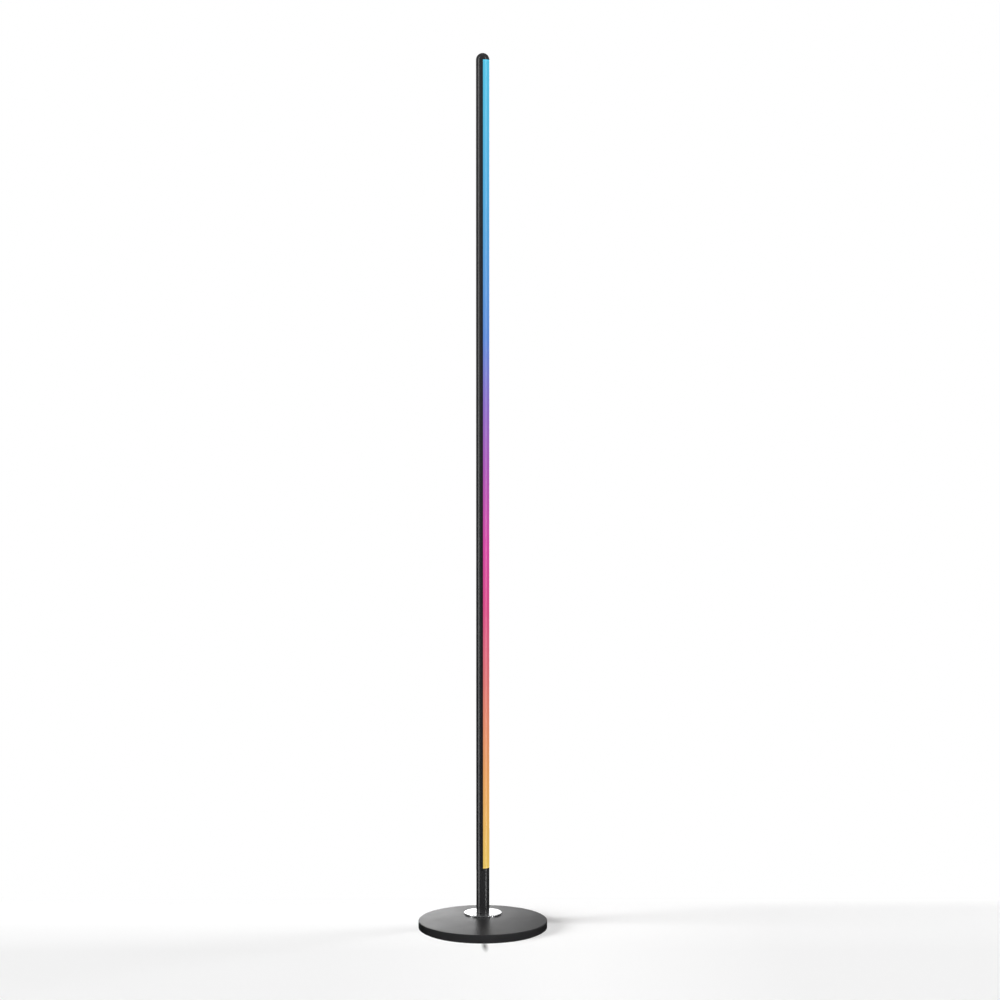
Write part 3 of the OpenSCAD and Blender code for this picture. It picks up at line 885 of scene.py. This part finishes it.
# Card: a low sheet of light close behind the base, which only gloss can see
cardLook = {
    "behind": 0.27,  # metres behind the base's middle
    "halfWidth": 0.30,
    "softBottom": (0.045, 0.060),  # metres above the floor
    "softTop": (0.068, 0.102),
    "left": (-0.10, 6.1),  # place across, in metres, and brightness there
    "right": (0.11, 1.05),
}


def lightCard():
    # Backlit cloth, brighter on the left and fading out at its top and bottom
    material, tree = startMaterial("backlit cloth")
    place = addNode(tree, "ShaderNodeTexCoord")
    axes = addNode(tree, "ShaderNodeSeparateXYZ", links={0: place.outputs["Object"]})
    across = addNode(tree, "ShaderNodeMapRange",
                     {"From Min": cardLook["left"][0], "From Max": cardLook["right"][0],
                      "To Min": cardLook["left"][1], "To Max": cardLook["right"][1]},
                     {"Value": axes.outputs["X"]})
    bottom = addNode(tree, "ShaderNodeMapRange",
                     {"From Min": cardLook["softBottom"][0], "From Max": cardLook["softBottom"][1]},
                     {"Value": axes.outputs["Z"]})
    top = addNode(tree, "ShaderNodeMapRange",
                  {"From Min": cardLook["softTop"][0], "From Max": cardLook["softTop"][1],
                   "To Min": 1, "To Max": 0},
                  {"Value": axes.outputs["Z"]})
    ends = addNode(tree, "ShaderNodeMath", {"operation": "MULTIPLY"},
                   {0: bottom.outputs[0], 1: top.outputs[0]})
    strength = addNode(tree, "ShaderNodeMath", {"operation": "MULTIPLY"},
                       {0: across.outputs[0], 1: ends.outputs[0]})
    light = addNode(tree, "ShaderNodeEmission", {"Color": whiteLight}, {"Strength": strength.outputs[0]})
    addNode(tree, "ShaderNodeOutputMaterial", links={"Surface": light.outputs[0]})
    return material


width, behind = cardLook["halfWidth"], cardLook["behind"]
low, high = cardLook["softBottom"][0], cardLook["softTop"][1]
card = stageSheet("light_card", [(-width, behind, low), (width, behind, low), (width, behind, high),
                                 (-width, behind, high)], lightCard())
card.visible_camera = False
card.visible_diffuse = False
card.visible_shadow = False
card.visible_transmission = False
card.light_linking.receiver_collection = discAndPlate

# Softboxes: places and sizes are in metres, and light is the brightness of the face, where 1 is white
softboxes = {
    "left_softbox": {
        "place": (-1.20, -0.30, 0.75),
        "aim": (0, 0.042, 0.75),
        "size": (0.32, 3.4),
        "light": 4.4,
    },
    "right_softbox": {
        "place": (1.06, -0.62, 0.75),
        "aim": (0, 0.042, 0.75),
        "size": (0.12, 3.4),
        "light": 10.5,
    },
    "back_softbox": {
        "place": (0.45, 2.6, 0.9),
        "aim": (0, 0.042, 0.8),
        "size": (0.5, 2.6),
        "light": 3.0,
    },
    "front_fill": {
        "place": (0.4, -3.2, 2.6),
        "aim": (0, 0, 0.6),
        "size": (1.6, 1.6),
        "light": 28,
        "hiddenInGloss": True,
        "lightsBase": True,
    },
}
for lampName, lamp in softboxes.items():
    lampData = bpy.data.lights.new(lampName, "AREA")
    lampData.shape = "RECTANGLE"
    lampData.size, lampData.size_y = lamp["size"]
    lampData.energy = lamp["light"] * math.pi * lamp["size"][0] * lamp["size"][1]
    lampObject = bpy.data.objects.new(lampName, lampData)
    lampObject.location = lamp["place"]
    aim = Vector(lamp["aim"]) - Vector(lamp["place"])
    lampObject.rotation_euler = aim.to_track_quat("-Z", "Y").to_euler()
    lampObject.visible_camera = False
    lampObject.visible_glossy = not lamp.get("hiddenInGloss", False)
    lampObject.light_linking.receiver_collection = allButFloor if lamp.get("lightsBase") else poleAndDisc
    scene.collection.objects.link(lampObject)

# Floor lamps: the bearing is in degrees from +X towards +Y, and share is the brightness that one adds
floorLamps = {
    "left_window": {"bearing": 186, "rise": 14, "spread": 20, "share": 0.32, "shadowOf": "pole"},
    "front_left_window": {"bearing": 214, "rise": 11, "spread": 34, "share": 0.30, "shadowOf": "plate"},
    "right_window": {"bearing": 22, "rise": 24, "spread": 20, "share": 0.19, "shadowOf": "pole"},
}
floorAlbedo = linearColour(floorLook["colour"])[0]
for lampName, lamp in floorLamps.items():
    bearing, rise = math.radians(lamp["bearing"]), math.radians(lamp["rise"])
    lampData = bpy.data.lights.new(lampName, "SUN")
    lampData.angle = math.radians(lamp["spread"])
    lampData.energy = lamp["share"] * math.pi / (floorAlbedo * math.sin(rise))
    lampObject = bpy.data.objects.new(lampName, lampData)
    level = math.cos(rise)
    towards = Vector((math.cos(bearing) * level, math.sin(bearing) * level, math.sin(rise)))
    lampObject.rotation_euler = towards.to_track_quat("Z", "Y").to_euler()
    lampObject.visible_glossy = False
    lampObject.light_linking.receiver_collection = onlyFloor
    lampObject.light_linking.blocker_collection = plateOnly if lamp["shadowOf"] == "plate" else allButPlate
    scene.collection.objects.link(lampObject)


# World: white for the camera, black for the light on matt surfaces, and for gloss a dim room.
# Each entry is the height of a direction, where 1 is straight up, and the room's brightness there
room = [(-0.14, 0.005), (0.02, 0.14), (0.25, 0.28), (0.60, 0.22), (1.00, 0.40)]
world = bpy.data.worlds.new("studio_room")
scene.world = world
world.use_nodes = True
world.cycles.sampling_method = "NONE"
sky = world.node_tree
sky.nodes.clear()
direction = addNode(sky, "ShaderNodeTexCoord")
skyAxes = addNode(sky, "ShaderNodeSeparateXYZ", links={0: direction.outputs["Generated"]})
skyHeight = addNode(sky, "ShaderNodeMapRange", {"From Min": -1, "From Max": 1},
                    {"Value": skyAxes.outputs["Z"]})
roomLight = addNode(sky, "ShaderNodeValToRGB", links={0: skyHeight.outputs[0]})
roomStops = roomLight.color_ramp.elements
while len(roomStops) < len(room):
    roomStops.new(0.5)
for stop, (height, brightness) in zip(roomStops, room):
    stop.position = (height + 1) / 2
    stop.color = (brightness, brightness, brightness, 1)
ray = addNode(sky, "ShaderNodeLightPath")
forGloss = addNode(sky, "ShaderNodeMath", {"operation": "MULTIPLY"},
                   {0: ray.outputs["Is Glossy Ray"], 1: roomLight.outputs["Color"]})
seen = addNode(sky, "ShaderNodeMath", {"operation": "MAXIMUM"},
               {0: ray.outputs["Is Camera Ray"], 1: ray.outputs["Is Transmission Ray"]})
forAll = addNode(sky, "ShaderNodeMath", {"operation": "MAXIMUM"},
                 {0: seen.outputs[0], 1: forGloss.outputs[0]})
background = addNode(sky, "ShaderNodeBackground", {"Color": whiteLight}, {"Strength": forAll.outputs[0]})
addNode(sky, "ShaderNodeOutputWorld", links={"Surface": background.outputs[0]})
print("studio lit")
